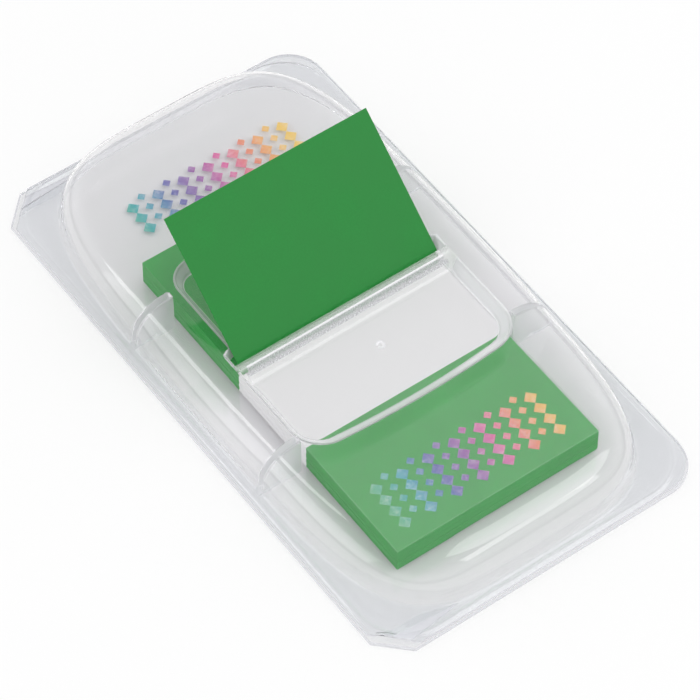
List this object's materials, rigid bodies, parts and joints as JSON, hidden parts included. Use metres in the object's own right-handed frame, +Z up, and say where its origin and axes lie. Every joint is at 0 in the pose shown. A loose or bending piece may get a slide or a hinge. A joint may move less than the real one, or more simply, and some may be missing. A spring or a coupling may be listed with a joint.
{
  "type": "sticky index tabs",
  "caption": "Green film index tabs stacked as a pad in a clear pop-up dispenser, with the top tab standing up through a cross slot.",
  "frame": {"origin": "centre of the base sheet's underside", "axes": "+X to the right across the tabs, +Y towards the rear end where the raised tab leans, +Z up"},
  "size_m": [0.0392, 0.0702, 0.0157],
  "materials": {
    "clear_base": "clear, glossy, with a sheared edge",
    "clear_cover": "clear thermoformed sheet, glossy, with a frosted lip",
    "pad_film": "stacked satin film, green at both ends and clear in the middle",
    "tab_film": "satin film, slightly translucent green"
  },
  "bodies": {
    "root": {"base_sheet": "clear_base", "cover": "clear_cover", "tab_pad": "pad_film", "raised_tab": "tab_film"}
  },
  "joints": []
}
